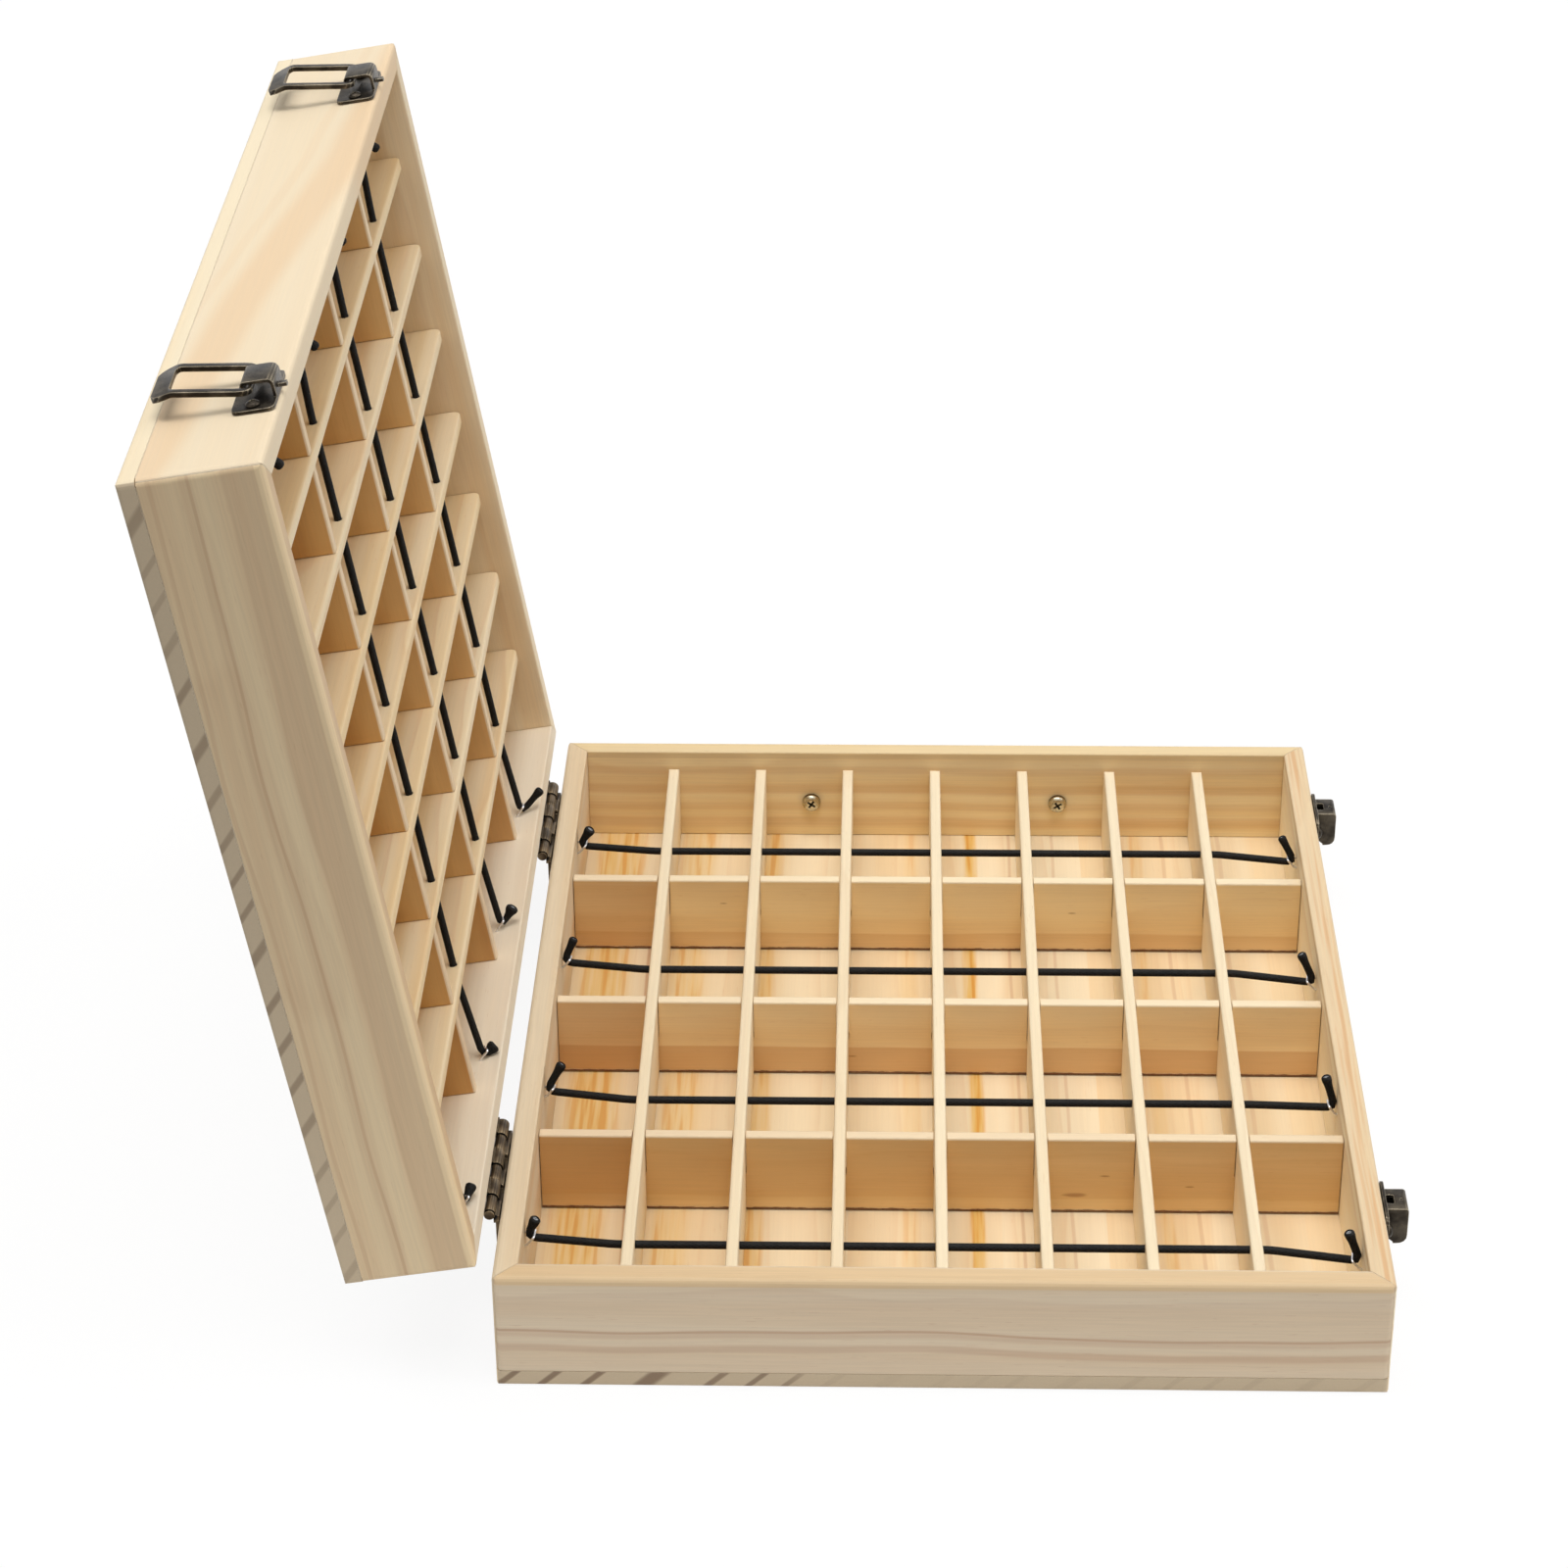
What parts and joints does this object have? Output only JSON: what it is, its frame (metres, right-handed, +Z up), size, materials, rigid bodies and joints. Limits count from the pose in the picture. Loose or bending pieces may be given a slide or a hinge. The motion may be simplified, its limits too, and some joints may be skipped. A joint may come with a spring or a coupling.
{
  "type": "essential oil storage box",
  "caption": "Hinged pine carry case of two shallow trays, each split by half-lapped dividers into bottle compartments with elastic cords; ring latches and a drop handle",
  "frame": {"origin": "middle of the underside of the base tray, the face it rests on", "axes": "+Z up out of the base tray; +X from the hinges to the latches, the longest extent of the open case; +Y towards the wall that carries the handle"},
  "size_m": [0.4607, 0.4223, 0.3982],
  "materials": {
    "wall_pine": "pale sanded pine, clear matte, lengthwise grain",
    "panel_board": "thin glued pine board with amber streaks, satin",
    "divider_pine": "sanded pine strips, matte, eased edges",
    "elastic_cord": "black braided cover over a rubber core",
    "hinge_bronze": "antique bronze plating, worn lighter on the knuckles",
    "latch_bronze": "dark bronze plating, lighter on the worn edges",
    "screw_steel": "bright zinc-plated steel"
  },
  "bodies": {
    "base": {"base_wall_near": "wall_pine", "base_wall_latch": "wall_pine", "base_wall_far": "wall_pine", "base_wall_hinge": "wall_pine", "base_panel": "panel_board", "base_long_divider_1": "divider_pine", "base_long_divider_2": "divider_pine", "base_long_divider_3": "divider_pine", "base_long_divider_4": "divider_pine", "base_long_divider_5": "divider_pine", "base_long_divider_6": "divider_pine", "base_long_divider_7": "divider_pine", "base_cross_divider_1": "divider_pine", "base_cross_divider_2": "divider_pine", "base_cross_divider_3": "divider_pine", "base_cord_1": "elastic_cord", "base_cord_2": "elastic_cord", "base_cord_3": "elastic_cord", "base_cord_4": "elastic_cord", "hinge_far_base_leaf": "hinge_bronze", "hinge_far_pin": "hinge_bronze", "latch_far_catch": "latch_bronze", "hinge_near_base_leaf": "hinge_bronze", "hinge_near_pin": "hinge_bronze", "latch_near_catch": "latch_bronze", "handle_post_hinge": "latch_bronze", "handle_post_latch": "latch_bronze", "handle_screw_hinge": "screw_steel", "handle_screw_latch": "screw_steel"},
    "lid": {"lid_wall_near": "wall_pine", "lid_wall_latch": "wall_pine", "lid_wall_far": "wall_pine", "lid_wall_hinge": "wall_pine", "lid_panel": "panel_board", "lid_long_divider_1": "divider_pine", "lid_long_divider_2": "divider_pine", "lid_long_divider_3": "divider_pine", "lid_long_divider_4": "divider_pine", "lid_long_divider_5": "divider_pine", "lid_long_divider_6": "divider_pine", "lid_long_divider_7": "divider_pine", "lid_cross_divider_1": "divider_pine", "lid_cross_divider_2": "divider_pine", "lid_cross_divider_3": "divider_pine", "lid_cord_1": "elastic_cord", "lid_cord_2": "elastic_cord", "lid_cord_3": "elastic_cord", "lid_cord_4": "elastic_cord", "hinge_far_lid_leaf": "hinge_bronze", "hinge_near_lid_leaf": "hinge_bronze", "latch_far_plate": "latch_bronze", "latch_near_plate": "latch_bronze"},
    "ring_far": {"latch_far_ring": "latch_bronze"},
    "ring_near": {"latch_near_ring": "latch_bronze"},
    "handle": {"handle_bail": "latch_bronze"}
  },
  "joints": [
    {"name": "lid_hinge", "type": "hinge", "parent": "base", "child": "lid", "pos_m": [-0.174, 0, 0.0512], "axis": [0, 1, 0], "range_deg": [0, 99.5]},
    {"name": "latch_far_hinge", "type": "hinge", "parent": "lid", "child": "ring_far", "pos_m": [-0.24133, 0.1492, 0.3948], "axis": [0, 1, 0], "range_deg": [0, 171.5]},
    {"name": "latch_near_hinge", "type": "hinge", "parent": "lid", "child": "ring_near", "pos_m": [-0.24133, -0.1468, 0.3948], "axis": [0, 1, 0], "range_deg": [0, 171.5]},
    {"name": "handle_hinge", "type": "hinge", "parent": "base", "child": "handle", "pos_m": [0, 0.215, 0.025], "axis": [1, 0, 0], "range_deg": [-24, 204]}
  ]
}
